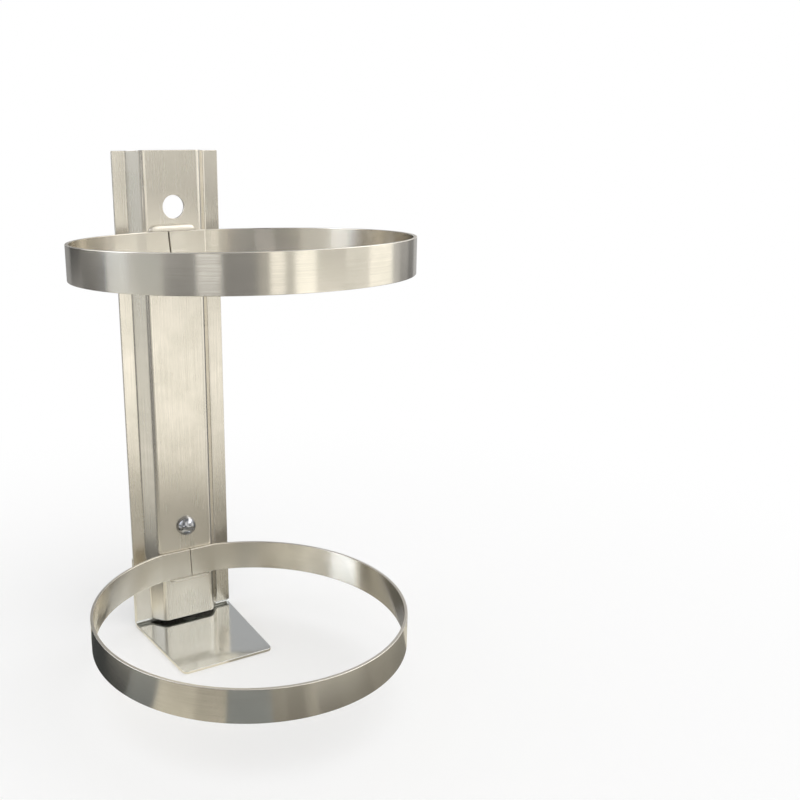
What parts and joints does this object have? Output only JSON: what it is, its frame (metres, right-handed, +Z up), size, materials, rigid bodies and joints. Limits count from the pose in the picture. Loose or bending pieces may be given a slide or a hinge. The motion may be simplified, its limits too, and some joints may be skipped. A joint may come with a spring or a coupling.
{
  "type": "fire extinguisher bracket",
  "caption": "Welded stainless wall bracket: a pressed channel carries an upper and a lower hoop, and a foot shelf takes the weight of the extinguisher.",
  "frame": {"origin": "the middle of the foot plate's back, where its upright leg touches the wall", "axes": "+Z up along the channel, +Y into the wall, -Y out to the hoops, +X to the right of someone facing the bracket"},
  "size_m": [0.15, 0.1595, 0.2553],
  "materials": {
    "brushed_stainless": "fine lengthwise grain, bright",
    "polished_stainless": "bright, nearly a mirror",
    "weld_metal": "clean, lightly rippled bead"
  },
  "bodies": {
    "root": {"back_channel": "brushed_stainless", "foot_shelf": "polished_stainless", "upper_hoop": "brushed_stainless", "lower_hoop": "brushed_stainless", "upper_hoop_weld": "weld_metal", "lower_hoop_weld": "weld_metal", "face_rivet": "polished_stainless"}
  },
  "joints": []
}
